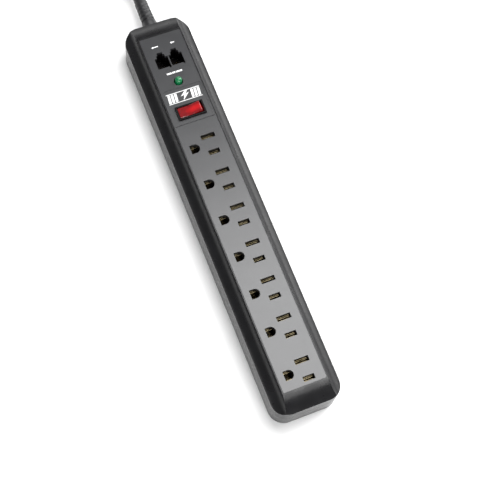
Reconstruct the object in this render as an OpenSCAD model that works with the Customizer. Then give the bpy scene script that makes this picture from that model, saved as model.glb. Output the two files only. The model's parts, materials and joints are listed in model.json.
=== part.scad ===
// Seven-outlet surge-protected power strip with a lit rocker switch, two phone
// jacks and a captive cord.  Millimetres, X across the strip, +Y towards the
// cord, +Z up.  The origin is on the underside, at the middle of the casing.

/* [Casing] */
// Length of the casing
case_l = 307; // [300:1:320]
// Width of the casing
case_w = 49.7; // [49:0.1:52]
// Height of the face
case_h = 35; // [34.5:0.1:36]
// Height of the rim where the side walls end and the cove starts
rim_h = 25; // [24:0.5:26]
// Radius of the corners in plan
corner_r = 11.5; // [9:0.5:13]
// Radius of the bottom edge
foot_r = 1.5; // [1:0.5:3]
// Thickness of the walls
wall = 2.2; // [1.8:0.1:2.4]
// Height of the line where the two halves of the casing meet
split_h = 16; // [15:0.5:17]

/* [Raised spine and face plate] */
// Width of the raised spine
spine_w = 32.9; // [32:0.1:34]
// Length of the flat top of the spine
spine_l = 281; // [276:1:284]
// Height of the spine where it ends
spine_end_h = 28.5; // [27:0.5:30]
// Width of the face plate
plate_w = 31.3; // [30.5:0.1:31.5]
// Length of the face plate
plate_l = 279; // [275:1:279.5]
// Thickness of the face plate
plate_t = 2.4; // [2:0.1:3]
// Depth of the label recess around the switch
label_depth = 0.35; // [0.2:0.05:0.6]

/* [Outlets] */
// Distance from one outlet to the next
outlet_pitch = 28.575; // [28:0.1:29]
// Distance from the sixth outlet to the last, wider one for an adapter
adapter_pitch = 31.75; // [29:0.25:32]
// Place of the first outlet, from the middle of the casing
outlet_first_y = 45.5; // [44:0.1:46]
// Distance between the two blade slots of an outlet
blade_spacing = 12.7; // [12.5:0.05:12.9]
// Place of the blade slots across the strip
blade_x = 4.33; // [4:0.01:4.6]
// Distance from the blade slots to the ground hole
ground_offset = 11.9; // [11.5:0.05:12.1]
// Length of the neutral slot
neutral_slot = 10.2; // [9:0.1:10.4]
// Length of the line slot
line_slot = 8.3; // [7:0.1:8.8]
// Width of both blade slots
slot_w = 3.6; // [2.8:0.1:3.6]
// Width of the ground hole, which is round at one end and square at the other
ground_d = 6.8; // [6:0.1:7]

/* [Switch] */
// Place of the switch, from the middle of the casing
switch_y = 74.6; // [74:0.1:75]
// Length of the switch's bezel, across the strip
bezel_l = 20.8; // [20:0.1:22]
// Width of the switch's bezel, along the strip
bezel_w = 10.5; // [10.2:0.1:11]
// Height of the bezel above the label recess
bezel_h = 1.8; // [1.5:0.1:2]
// Angle of the rocker to each side of its middle position
rocker_tilt = 10; // [8:1:10]
// Angle of the contact arm to each side of its middle position
arm_tilt = 7; // [5:1:7]

/* [Phone jacks and status light] */
// Distance between the centres of the two jacks
jack_pitch = 10.6; // [10.5:0.1:11]
// Place of the jacks, from the middle of the casing
jack_y = 117.2; // [116:0.2:119]
// Width of a jack's opening
jack_w = 9.8; // [9.7:0.1:9.9]
// Length of a jack's opening without its latch notch
jack_l = 8.8; // [8.6:0.1:9.4]
// Place of the status light, from the middle of the casing
light_y = 99.5; // [98:0.5:101]
// Diameter of the status light
light_d = 5.4; // [5:0.1:5.6]

/* [Cord and plug] */
// Diameter of the power cord
cord_d = 9; // [8:0.5:10]
// Height of the cord where it leaves the casing
cord_z = 16; // [15:0.5:17]
// Length of the strain relief outside the casing
relief_l = 26; // [22:1:30]

/* [Hidden] */
$fn = 64;

eps = 0.01;
half_l = case_l / 2;
half_w = case_w / 2;

// Places that repeat along the strip
outlet_ys = [
    for (i = [0:5]) outlet_first_y - i * outlet_pitch,
    outlet_first_y - 5 * outlet_pitch - adapter_pitch
];
ground_x = blade_x - ground_offset;
neutral_dy = blade_spacing / 2;

// Cove between rim and spine, and the hollow ramp at each end of the spine
cove_r = 9.2;
ramp_r = 27.7;
ramp_top = [spine_l / 2, case_h];
ramp_foot = [half_l, spine_end_h];
ramp_chord = norm(ramp_foot - ramp_top);
ramp_rise = [ramp_top[1] - ramp_foot[1], ramp_foot[0] - ramp_top[0]] / ramp_chord;
ramp_centre = (ramp_top + ramp_foot) / 2 + sqrt(pow(ramp_r, 2) - pow(ramp_chord / 2, 2)) * ramp_rise;

// Face plate seat and the room under it
seat_gap = 0.15;
plate_z = case_h - plate_t;
window_w = 28.2;
window_l = 276.4;
label_from = 66;
label_to = 94.5;
label_w = 29.4;
label_groove_w = 0.7;
label_groove_depth = 0.8;
light_ring = 0.7;

// Screws
case_screw_x = 18.2;
case_screw_ys = [-126, -42, 46, 122];
screw_r = 1.45;
post_r = 3.4;
carrier_screw_ys = [-112, -26, 55];
carrier_screw_x = 17;

// Keyholes in the underside
keyhole_ys = [-100, 100];
keyhole_head_r = 4.5;
keyhole_slot_r = 2.3;
keyhole_slot_l = 8;

// Contacts
carrier_from = -137.9;
carrier_to = 62;
carrier_w = 27.2;
carrier_bottom = 15.4;
carrier_top = plate_z - 0.2;
bus_t = 0.8;
bus_end = carrier_to + 3;
bus_bottom = 15.8;
bus_top = 23;
leaf_t = 0.5;
leaf_top = 30.4;
blade_gap = 1.1;
ground_gap = 4.5;
lip_bottom = 29.6;
lip_top = 31.4;
lip_flare = 0.6;
lip_inset = 0.4;
pocket_h = leaf_top + 0.4;
pocket_w = slot_w + 0.2;
pocket_reach = 10.2;
neutral_bus_x = 12.2;
line_bus_x = -2.6;
ground_bus_x = -12.4;

// Switch
pivot_z = 32;
pivot_r = 1.2;
pivot_fit = 0.06;
switch_body_l = 19.9;
switch_body_w = 9.7;
switch_room_l = 18.6;
switch_room_w = 8.5;
switch_floor = 20;
switch_room_z = 21.4;
rocker_w = 7.9;
plunger_r = 1.3;
arm_z = 24;
arm_t = 0.8;
arm_l = 13;
contact_x = 5.4;
terminal_bottom = 9.5;

// Circuit board
board_from = 84;
board_to = 137;
board_w = 38;
board_z = 14;
board_t = 1.6;
board_top = board_z + board_t;

// Phone jacks
jack_depth_z = 20;
notch_w = [6.2, 4.2];
notch_l = [2.2, 2];
corner_notch = [1.4, 0.9];

// Plug, lying on the hank with its blades away from the strip
plug_x = 17;
plug_z = 32.6;
plug_relief_y = 318;
plug_back_y = 334;
plug_front_y = 370;
plug_w = 27;
plug_h = 26;
blade_l = 16.5;
pin_l = 19;
pin_r = 2.38;

// Power cord: straight out of the relief, down to the floor and into the hank
relief_tip_y = half_l + relief_l;
hank_x = 17;
hank_y = 301;
hank_loop_dy = 48;
hank_loop_r = 41.4;
hank_bottom = 1;
hank_top = 19.5;
hank_waist = 22.2;
cord_route = [
    [0, relief_tip_y, cord_z], [0, 186, cord_z], [-0.6, 193, 14.9], [-2.1, 200, 12.8],
    [-4.4, 207, 10.4], [-7.2, 214, 8], [-10.3, 221, 6.2], [-13.4, 228, 5.5],
    [-16.1, 235, 5.5], [-18.2, 242, 5.5], [-19.5, 248, 5.5]
];

// The last half turn climbs on top of the hank, and then the tail runs to the plug
climb_steps = 11;
climb_route = [
    for (i = [0:climb_steps])
        let (share = i / climb_steps, a = 40 - 220 * share, r = 36.8 - 7 * share)
        [hank_x + r * cos(a), hank_y - hank_loop_dy + r * sin(a), 24.3 - 8 * pow(1 - share, 2)]
];
tail_route = [
    [-11.8, 261, 24.6], [-9, 268, 25.4], [-5, 275, 26.4], [-0.5, 282, 27.7],
    [4.2, 289, 29.1], [9, 296, 30.5], [13, 303, 31.7], [15.9, 309, 32.4],
    [plug_x, 314, plug_z], [plug_x, plug_relief_y, plug_z]
];

// ---------------------------------------------------------------- helpers

// A tube through a list of points, as one closed polyhedron.
function unit(v) = v / norm(v);
function heading(p, i) = unit(p[min(i + 1, len(p) - 1)] - p[max(i - 1, 0)]);
function ring(p, i, r, n) =
    let (t = heading(p, i), s = unit(cross(t, [0, 0, 1])), u = cross(s, t))
    [for (k = [0:n - 1]) p[i] + r * (cos(360 * k / n) * s + sin(360 * k / n) * u)];

module tube(points, d, sides) {
    rings = len(points);
    verts = [for (i = [0:rings - 1]) each ring(points, i, d / 2, sides)];
    walls = [
        for (i = [0:rings - 2], k = [0:sides - 1])
            let (a = i * sides + k, b = i * sides + (k + 1) % sides)
            each [[a, b, b + sides], [a, b + sides, a + sides]]
    ];
    first = [for (k = [sides - 1:-1:0]) k];
    last = [for (k = [0:sides - 1]) (rings - 1) * sides + k];
    polyhedron(verts, concat([first, last], walls), convexity = 6);
}

// A shape drawn in X and Z, made long in Y.
module along_y(from, to) {
    translate([0, to, 0]) rotate([90, 0, 0]) linear_extrude(to - from) children();
}

// A shape drawn in Y and Z, made long in X.
module along_x(from, to) {
    translate([from, 0, 0]) rotate([90, 0, 90]) linear_extrude(to - from) children();
}

module box(from, to) {
    translate(from) cube(to - from);
}

// A rounded rectangle, built from true circles.
module rounded(size, r) {
    square([size[0] - 2 * r, size[1]], center = true);
    square([size[0], size[1] - 2 * r], center = true);
    for (x = [-1, 1], y = [-1, 1])
        translate([x * (size[0] / 2 - r), y * (size[1] / 2 - r)]) circle(r);
}

// Half of an upright section whose lower outer edge is rounded.
module foot_section(reach, height, r) {
    square([reach - r, height]);
    translate([0, r]) square([reach, height - r]);
    translate([reach - r, r]) circle(r);
}

// The casing's outer block: vertical walls, round corners, a rounded bottom edge.
module casing_block() {
    inner_x = half_w - corner_r;
    inner_y = half_l - corner_r;
    for (side = [0, 1]) mirror([side, 0, 0])
        along_y(-inner_y, inner_y) foot_section(half_w, case_h, foot_r);
    for (side = [0, 1]) mirror([0, side, 0])
        along_x(-inner_x, inner_x) foot_section(half_l, case_h, foot_r);
    for (x = [-1, 1], y = [-1, 1])
        translate([x * inner_x, y * inner_y, 0])
            rotate_extrude() foot_section(corner_r, case_h, foot_r);
}

// The section across the strip: side walls, coves and spine.
module cove_section() {
    difference() {
        translate([-half_w, 0]) square([case_w, case_h]);
        for (side = [-1, 1]) {
            translate([side * (spine_w / 2 + cove_r), rim_h + cove_r]) circle(cove_r, $fn = 128);
            translate([side * (spine_w / 2 + cove_r) - cove_r, rim_h + cove_r])
                square([2 * cove_r, cove_r]);
        }
    }
}

module outer_form() {
    difference() {
        intersection() {
            casing_block();
            along_y(-half_l - 1, half_l + 1) cove_section();
        }
        for (side = [0, 1]) mirror([0, side, 0])
            along_x(-half_w - 1, half_w + 1)
                translate(ramp_centre) circle(ramp_r, $fn = 128);
    }
}

module above(z) {
    box([-100, -200, z], [100, 200, 60]);
}

module case_screw_places() {
    for (x = [-1, 1], y = case_screw_ys) translate([x * case_screw_x, y, 0]) children();
}

// The strain relief's seat in the end wall, shared by both halves.
module relief_seat() {
    translate([0, half_l + 1, cord_z]) rotate([90, 0, 0]) cylinder(r = 6.3, h = 8);
}

// ---------------------------------------------------------------- casing

module bottom_case() {
    color("#26272a") {
        difference() {
            outer_form();
            above(split_h);
            translate([0, 0, wall]) linear_extrude(case_h)
                rounded([case_w - 2 * wall, case_l - 2 * wall], corner_r - wall);
            relief_seat();
            case_screw_places() screw_hole();
            for (y = keyhole_ys) translate([0, y, -1]) linear_extrude(wall + 2) keyhole();
        }
        case_screw_places() difference() {
            translate([0, 0, wall - eps]) cylinder(r = post_r, h = split_h - wall + eps - 0.2);
            screw_hole();
        }
        relief_cradle(wall - eps, split_h - 0.2);
    }
}

module screw_hole() {
    translate([0, 0, -1]) cylinder(r = screw_r + 0.25, h = split_h + 2);
    translate([0, 0, -1]) cylinder(r = 3.1, h = 4.2);
}

module keyhole() {
    circle(keyhole_head_r);
    translate([0, keyhole_slot_l]) circle(keyhole_slot_r);
    translate([-keyhole_slot_r, 0]) square([2 * keyhole_slot_r, keyhole_slot_l]);
}

// A pair of ribs that hold the strain relief's flange.
module relief_cradle(from, to) {
    difference() {
        box([-12, half_l - wall - 5.6, from], [12, half_l - wall - 3.8, to]);
        translate([0, half_l, cord_z]) rotate([90, 0, 0]) cylinder(r = 5, h = 12);
    }
}

module top_case() {
    color("#1d1e20") {
        difference() {
            outer_form();
            box([-100, -200, -1], [100, 200, split_h]);
            translate([0, 0, split_h - 1]) linear_extrude(rim_h - wall - split_h + 1)
                rounded([case_w - 2 * wall, case_l - 2 * wall], corner_r - wall);
            box([-window_w / 2, -window_l / 2, split_h], [window_w / 2, window_l / 2, case_h + 1]);
            translate([0, 0, plate_z]) linear_extrude(plate_t + 1)
                rounded([plate_w + 2 * seat_gap, plate_l + 2 * seat_gap], 1.2);
            relief_seat();
        }
        case_screw_places() difference() {
            translate([0, 0, split_h]) cylinder(r = post_r, h = rim_h - wall - split_h + eps);
            translate([0, 0, split_h - 1]) cylinder(r = screw_r, h = 6);
        }
        for (x = [-1, 1], y = carrier_screw_ys) translate([x * carrier_screw_x, y, 0])
            ceiling_boss(20);
        for (x = [-1, 1], y = [board_from + 4, board_to - 4])
            translate([x * (board_w / 2 - 3), y, 0]) ceiling_boss(board_top);
        relief_cradle(split_h, rim_h - wall + eps);
    }
}

// A screw boss that hangs from the ceiling beside the spine.
module ceiling_boss(from) {
    difference() {
        translate([0, 0, from]) cylinder(r = 2.6, h = rim_h - wall - from + eps);
        translate([0, 0, from - 1]) cylinder(r = 1.1, h = 3.4);
    }
}

// Half round towards the blade slots, square away from them.
module ground_hole(d) {
    circle(d = d);
    translate([-d / 2, -d / 2]) square([d / 2, d]);
}

module outlet_holes(extra) {
    translate([blade_x, neutral_dy])
        square([neutral_slot + extra, slot_w + extra], center = true);
    translate([blade_x, -neutral_dy])
        square([line_slot + extra, slot_w + extra], center = true);
    translate([ground_x, 0]) ground_hole(ground_d + extra);
}

module jack_outline(extra) {
    square([jack_w + extra, jack_l + extra], center = true);
    translate([0, (jack_l + notch_l[0]) / 2])
        square([notch_w[0] + extra, notch_l[0] + extra], center = true);
    translate([0, (jack_l + notch_l[1]) / 2 + notch_l[0]])
        square([notch_w[1] + extra, notch_l[1] + extra], center = true);
    translate([(jack_w - corner_notch[0]) / 2, -(jack_l + corner_notch[1]) / 2])
        square([corner_notch[0] + extra, corner_notch[1] + extra], center = true);
}

module jack_places() {
    for (side = [-1, 1]) translate([side * jack_pitch / 2, jack_y, 0]) children();
}

module face_plate() {
    color("#5d5e62") difference() {
        translate([0, 0, plate_z]) linear_extrude(plate_t) rounded([plate_w, plate_l], 1);
        translate([0, (label_from + label_to) / 2, case_h - label_depth])
            linear_extrude(1) rounded([label_w, label_to - label_from], 1.2);
        box([-label_w / 2, label_from - label_groove_w, case_h - label_groove_depth],
            [label_w / 2, label_from, case_h + 1]);
        translate([0, 0, plate_z - 1]) linear_extrude(plate_t + 2) {
            for (y = outlet_ys) translate([0, y]) outlet_holes(0);
            jack_places() jack_outline(0);
            translate([0, light_y]) circle(d = light_d + 2 * light_ring);
            translate([0, switch_y])
                square([switch_body_l + 0.3, switch_body_w + 0.3], center = true);
        }
    }
}

// ---------------------------------------------------------------- contacts

module contact_carrier() {
    color("#e6e2d6") {
        difference() {
            box([-carrier_w / 2, carrier_from, carrier_bottom],
                [carrier_w / 2, carrier_to, carrier_top]);
            for (x = [neutral_bus_x, line_bus_x, ground_bus_x])
                box([x - 0.8, carrier_from - 1, carrier_bottom - 1],
                    [x + 0.8, carrier_to + 1, bus_top + 0.6]);
            for (y = outlet_ys) {
                pocket(-1.2, neutral_bus_x + 0.8, y + neutral_dy, pocket_w);
                pocket(line_bus_x - 0.8, pocket_reach, y - neutral_dy, pocket_w);
                pocket(ground_bus_x - 0.8, ground_x + ground_d / 2 + 0.1, y, ground_d + 0.2);
                translate([0, y, carrier_bottom]) linear_extrude(20) outlet_holes(0.2);
            }
        }
        for (side = [-1, 1], y = carrier_screw_ys) carrier_ear(side, y);
    }
}

// Room for one pair of leaves.
module pocket(x_from, x_to, y, w) {
    box([x_from, y - w / 2, carrier_bottom - 1], [x_to, y + w / 2, pocket_h]);
}

module carrier_ear(side, y) {
    difference() {
        translate([side * (carrier_w / 2 + 2.9), y, 19]) cube([6.2, 7, 2], center = true);
        translate([side * carrier_screw_x, y, 17]) cylinder(r = 1.35, h = 4);
    }
}

module insulator_sheet() {
    color("#c9a86a") translate([0, 0, carrier_bottom - 0.6])
        box([-carrier_w / 2, carrier_from + 1, 0], [carrier_w / 2, carrier_to - 1, 0.6]);
}

module bus_rail(x) {
    box([x - bus_t / 2, carrier_from + 0.4, bus_bottom], [x + bus_t / 2, bus_end, bus_top]);
}

// Two spring leaves, one on each side of a blade or pin.
module leaf_pair(x_from, x_to, y, gap) {
    for (side = [-1, 1])
        translate([0, y + side * (gap + leaf_t) / 2, 0])
            box([x_from, -leaf_t / 2, bus_bottom + 1], [x_to, leaf_t / 2, leaf_top]);
    box([x_from, y - gap / 2 - leaf_t, bus_bottom + 1], [x_to, y + gap / 2 + leaf_t, bus_bottom + 1.6]);
}

// The flared lips that guide a blade or pin in between two leaves.
module lip_pair(x_from, x_to, y, gap) {
    inner = gap / 2;
    outer = inner + leaf_t;
    for (side = [0, 1]) translate([0, y, 0]) mirror([0, side, 0])
        along_x(x_from, x_to) polygon([
            [inner, lip_bottom], [outer, lip_bottom],
            [outer + lip_flare, lip_top], [inner + lip_flare, lip_top]
        ]);
}

// Contacts for one blade slot of the given length.
module blade_contact(x_from, x_to, y, slot) {
    reach = slot / 2 - lip_inset;
    leaf_pair(x_from, x_to, y, blade_gap);
    lip_pair(blade_x - reach, blade_x + reach, y, blade_gap);
}

module line_bus() {
    color("#c89b3c") {
        bus_rail(line_bus_x);
        for (y = outlet_ys)
            blade_contact(line_bus_x, 8.6, y - neutral_dy, line_slot);
    }
}

module neutral_bus() {
    color("#d8c27a") {
        bus_rail(neutral_bus_x);
        for (y = outlet_ys)
            blade_contact(-0.8, neutral_bus_x, y + neutral_dy, neutral_slot);
    }
}

module ground_bus() {
    color("#c7a552") {
        bus_rail(ground_bus_x);
        for (y = outlet_ys) {
            leaf_pair(ground_bus_x, -4.8, y, ground_gap);
            lip_pair(ground_x - 2.4, ground_x, y, ground_gap);
        }
    }
}

// ---------------------------------------------------------------- switch

module at_pivot() {
    translate([0, switch_y, pivot_z]) children();
}

module switch_housing() {
    bezel_z = case_h - label_depth;
    color("#141416") difference() {
        union() {
            box([-bezel_l / 2, switch_y - bezel_w / 2, bezel_z],
                [bezel_l / 2, switch_y + bezel_w / 2, bezel_z + bezel_h]);
            box([-switch_body_l / 2, switch_y - switch_body_w / 2, switch_floor],
                [switch_body_l / 2, switch_y + switch_body_w / 2, bezel_z + eps]);
        }
        box([-switch_room_l / 2, switch_y - switch_room_w / 2, switch_room_z],
            [switch_room_l / 2, switch_y + switch_room_w / 2, case_h + 5]);
        at_pivot() rotate([90, 0, 0])
            cylinder(r = pivot_r + pivot_fit, h = switch_body_w + 2, center = true);
        for (x = [-contact_x, 0, contact_x])
            translate([x, switch_y, switch_floor]) cube([1.1, 5, 6], center = true);
    }
}

module rocker_section() {
    polygon([
        [-8.2, 5.65], [0, 4.2], [8.2, 5.65], [8.95, 1.2],
        [8.95, -1.2], [8.3, -3], [-8.3, -3], [-8.95, -1.2], [-8.95, 1.2]
    ]);
}

module rocker() {
    color("#c8141e") at_pivot() rotate([0, -rocker_tilt, 0]) difference() {
        union() {
            along_y(-rocker_w / 2, rocker_w / 2) rocker_section();
            rotate([90, 0, 0]) cylinder(r = pivot_r, h = switch_body_w - 0.3, center = true);
        }
        translate([0, 0, -4]) cylinder(r = plunger_r + 0.1, h = 6);
        for (x = [-1, 1]) box([x * 4.4 - 2.2, -2.3, -4], [x * 4.4 + 2.2, 2.3, 2.6]);
    }
}

module rocker_plunger() {
    color("#dcdcd8") at_pivot() rotate([0, -rocker_tilt, 0]) {
        translate([0, 0, -5.6]) cylinder(r = plunger_r, h = 4);
        translate([0, 0, -5.6]) sphere(plunger_r);
    }
}

module plunger_spring() {
    turns = 4;
    steps = 12;
    rise = 2.8 / (turns * steps);
    helix = [
        for (i = [0:turns * steps])
            [0.85 * cos(360 * i / steps), 0.85 * sin(360 * i / steps), -1.3 + rise * i]
    ];
    color("#b9bcc0") at_pivot() rotate([0, -rocker_tilt, 0]) tube(helix, 0.4, 6);
}

module neon_lamp() {
    color("#ff9a66") at_pivot() rotate([0, -rocker_tilt, 0])
        translate([4.4, 0, 0.6]) rotate([90, 0, 0]) cylinder(r = 1.5, h = 4, center = true);
}

module lamp_resistor() {
    color("#c8b48c") at_pivot() rotate([0, -rocker_tilt, 0])
        translate([-4.4, 0, 1]) rotate([90, 0, 0]) cylinder(r = 0.9, h = 3.6, center = true);
}

module contact_arm() {
    color("#b87a3c") translate([0, switch_y, arm_z]) rotate([0, arm_tilt, 0]) {
        box([-arm_l / 2, -2, 0], [arm_l / 2, 2, arm_t]);
        translate([contact_x, 0, -0.7]) cylinder(r = 1.2, h = 0.9);
    }
}

// A blade that leaves the switch's floor, with a pad of its own height on top.
module terminal(x, top, pad_l, pad_t) {
    translate([x, switch_y, 0]) {
        box([-0.4, -2.2, terminal_bottom], [0.4, 2.2, top - pad_t + eps]);
        box([-pad_l / 2, -2.2, top - pad_t], [pad_l / 2, 2.2, top]);
    }
}

module line_terminal() {
    color("#cfc7a0") terminal(0, arm_z - 0.15, 1, 0.6);
}

module load_terminal() {
    color("#cfc7a0") terminal(contact_x, 22.3, 2.8, 0.6);
}

module lamp_terminal() {
    color("#cfc7a0") terminal(-contact_x, 22.3, 2.8, 0.6);
}

// ---------------------------------------------------------------- electronics

module circuit_board() {
    color("#2f6b3a") difference() {
        box([-board_w / 2, board_from, board_z], [board_w / 2, board_to, board_top - 0.1]);
        for (x = [-1, 1], y = [board_from + 4, board_to - 4])
            translate([x * (board_w / 2 - 3), y, board_z - 1]) cylinder(r = 1.35, h = 4);
        case_screw_places() cylinder(r = post_r + 0.4, h = split_h);
    }
}

module surge_varistors() {
    color("#2b5fa8") for (x = [-10, -4.6, 9.6]) translate([x, 88.5, board_top]) {
        translate([0, 0, 7.6]) rotate([0, 90, 0]) cylinder(r = 7, h = 4.4, center = true);
        for (y = [-3.4, 3.4]) translate([0, y, 0]) cylinder(r = 0.4, h = 3);
    }
}

module thermal_fuse() {
    color("#d9d6cc") translate([2.4, 89, board_top + 2.4]) rotate([90, 0, 0]) {
        cylinder(r = 2, h = 9, center = true);
        cylinder(r = 0.4, h = 13, center = true);
    }
}

module choke_core() {
    color("#55534e") translate([15.5, 100, board_top + 0.7]) difference() {
        cylinder(r = 5.2, h = 5.2);
        translate([0, 0, -1]) cylinder(r = 2.4, h = 8);
    }
}

module choke_winding() {
    color("#a8622a") translate([15.5, 100, board_top + 3.3])
        for (a = [0:40:320]) rotate([0, 0, a]) translate([3.8, 0, 0]) rotate([90, 0, 0])
            difference() {
                box([-2.05, -3.2, -0.5], [2.05, 3.2, 0.5]);
                box([-1.45, -2.65, -1], [1.45, 2.65, 1]);
            }
}

module filter_capacitor() {
    color("#e0b52c") box([-18.2, 93.6, board_top], [-12.8, 106, board_top + 6.8]);
}

module status_light() {
    r = light_d / 2;
    dome_z = 36.6;
    color("#1f9a48") translate([0, light_y, 0]) {
        translate([0, 0, 26.4]) cylinder(r = r, h = dome_z - 26.4);
        translate([0, 0, 26.4]) cylinder(r = r + 0.4, h = 1);
        translate([0, 0, dome_z]) sphere(r);
        for (x = [-1.27, 1.27]) translate([x, 0, board_top]) cylinder(r = 0.3, h = 11);
    }
}

module phone_jack_housing() {
    jack_top = plate_z - 0.15;
    color("#101012") difference() {
        box([-12, 110.2, board_top], [12, 128.2, jack_top]);
        jack_places() translate([0, 0, jack_depth_z]) linear_extrude(20) jack_outline(0);
        jack_places() translate([0, -jack_l / 2, jack_depth_z + 2])
            linear_extrude(20) square([6, 3], center = true);
    }
}

// Four spring wires in each jack.
module phone_contacts() {
    color("#d9b45a") jack_places() for (i = [0:3])
        translate([(i - 1.5) * 1.27, -jack_l / 2 + 0.3, jack_depth_z + 2.2]) rotate([4, 0, 0])
            box([-0.25, -0.25, 0], [0.25, 0.25, 9]);
}

module phone_suppressors() {
    color("#3a3a3a") for (x = [-16, 16]) translate([x, 114, board_top])
        box([-2, -3, 0], [2, 3, 3.4]);
}

// ---------------------------------------------------------------- wiring

supply_route = [
    [-2.6, 147.3, 16], [-3, 143, 14], [-4.5, 138, 9], [-7.5, 128, 6.5], [-9, 118, 6],
    [-9, 106, 6], [-8.5, 95, 6], [-4, 88, 6.5], [0.4, 83, 8], [1.8, 79, 9.4],
    [1.8, 75.2, 10.6]
];
load_route = [
    [7.2, 75.2, 11], [8.2, 72, 9.5], [7.6, 69, 8], [4, 67.5, 8], [0, 68, 10.5],
    [-2, 69.5, 14], [-2.6, 68, 17.2], [line_bus_x, bus_end + 0.5, 18.5]
];
neutral_route = [
    [2.6, 147.3, 16], [4, 143, 14], [8, 138, 9], [11, 130, 6.5], [12, 110, 6],
    [13, 90, 6], [13.4, 77, 8], [13, 71, 12], [12.4, 68, 16.4],
    [neutral_bus_x, bus_end + 0.5, 18.5]
];
ground_route = [
    [0, 147.1, 19], [-4, 143, 18], [-9, 140.4, 13], [-12.6, 136, 8.5], [-13, 126, 6.5],
    [-14, 110, 6], [-14, 88, 6], [-13.8, 77, 8], [-13.2, 71, 12], [-12.6, 68, 16.4],
    [ground_bus_x, bus_end + 0.5, 18.5]
];
wire_d = 2.6;

module supply_wire() {
    color("#151515") tube(supply_route, wire_d, 8);
}

module load_wire() {
    color("#1b1b1b") tube(load_route, wire_d, 8);
}

module neutral_wire() {
    color("#ececec") tube(neutral_route, wire_d, 8);
}

module ground_wire() {
    color("#2f8a3c") tube(ground_route, wire_d, 8);
}

// ---------------------------------------------------------------- screws

// A pan-head screw that points up, with the underside of its head at z = 0.
module screw(r, length, head_r) {
    translate([0, 0, -1]) cylinder(r = r, h = length + 1);
    difference() {
        translate([0, 0, -2]) cylinder(r = head_r, h = 2 - eps);
        for (a = [0, 90]) translate([0, 0, -2]) rotate([0, 0, a])
            cube([head_r * 1.3, 0.7, 1.8], center = true);
    }
}

module case_screws() {
    color("#9a9ca0") case_screw_places() translate([0, 0, 3.2]) screw(screw_r - 0.02, 16, 2.8);
}

module carrier_screws() {
    color("#9a9ca0") for (x = [-1, 1], y = carrier_screw_ys)
        translate([x * carrier_screw_x, y, 18]) screw(1.08, 4.2, 2.1);
}

module board_screws() {
    color("#9a9ca0") for (x = [-1, 1], y = [board_from + 4, board_to - 4])
        translate([x * (board_w / 2 - 3), y, board_z]) screw(1.08, 3.6, 2.1);
}

// ---------------------------------------------------------------- cord and plug

// Half section of the strain relief, from its inner flange to its tip.
module relief_section() {
    ribs = 5;
    pitch = 3.2;
    groove_r = 4.62;
    difference() {
        polygon([
            [0, -5.8], [6.1, -5.8], [6.1, -5.2], [6.7, -5.2], [6.7, -2.6], [6.1, -2.6],
            [6.1, 0.2], [7.2, 0.2], [7.2, 1.6], [6.4, 4], [5.5, 7.5], [5.1, 11],
            [4.8, relief_l], [0, relief_l]
        ]);
        for (i = [0:ribs - 1]) translate([groove_r, 9 + i * pitch]) square([2, 1.1]);
    }
}

module strain_relief() {
    color("#1a1b1d") translate([0, half_l, cord_z]) rotate([-90, 0, 0])
        rotate_extrude() relief_section();
}

module power_cord() {
    color("#1c1d1f") tube(cord_route, cord_d, 12);
}

module hank_outline() {
    for (side = [-1, 1]) translate([0, side * hank_loop_dy]) circle(hank_loop_r);
    square([2 * hank_waist, 2 * hank_loop_dy], center = true);
}

module cord_hank() {
    color("#1c1d1f") translate([hank_x, hank_y, hank_bottom])
        linear_extrude(hank_top - hank_bottom) hank_outline();
}

// A hook-and-loop strap around the waist of the hank.
module hank_tie() {
    strap_w = 14;
    strap_t = 0.9;
    color("#2a2a2e") translate([hank_x, hank_y, 0]) difference() {
        box([-hank_waist - strap_t, -strap_w / 2, 0],
            [hank_waist + strap_t, strap_w / 2, hank_top + strap_t]);
        box([-hank_waist, -strap_w, hank_bottom], [hank_waist, strap_w, hank_top]);
    }
}

module cord_tail() {
    color("#1c1d1f") tube(concat(climb_route, tail_route), cord_d, 12);
}

module plug_body() {
    color("#202124") translate([plug_x, 0, plug_z]) {
        translate([0, plug_relief_y, 0]) rotate([-90, 0, 0]) rotate_extrude()
            polygon([[0, 0], [5, 0], [7, plug_back_y - plug_relief_y + 1],
                     [0, plug_back_y - plug_relief_y + 1]]);
        along_x(-plug_w / 2, plug_w / 2) polygon([
            [plug_back_y, -8], [plug_back_y + 10, -9.5], [plug_back_y + 24, -10.5],
            [plug_back_y + 28, -plug_h / 2], [plug_front_y, -plug_h / 2],
            [plug_front_y, plug_h / 2], [plug_back_y + 28, plug_h / 2],
            [plug_back_y + 24, 10.5], [plug_back_y + 10, 9.5], [plug_back_y, 8]
        ]);
    }
}

// The two flat blades, side by side, low on the plug's face.
module plug_blades() {
    color("#c9ccd0") for (side = [-1, 1])
        translate([plug_x + side * blade_spacing / 2, 0, plug_z - 5]) difference() {
            box([-0.75, plug_front_y, -3.2], [0.75, plug_front_y + blade_l, 3.2]);
            translate([0, plug_front_y + 12, 0]) rotate([0, 90, 0])
                cylinder(r = 1.6, h = 4, center = true);
        }
}

module plug_ground_pin() {
    color("#c9ccd0") translate([plug_x, plug_front_y, plug_z - 5 + ground_offset]) {
        rotate([-90, 0, 0]) cylinder(r = pin_r, h = pin_l);
        translate([0, pin_l, 0]) sphere(pin_r);
    }
}

// ---------------------------------------------------------------- assembly

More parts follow.
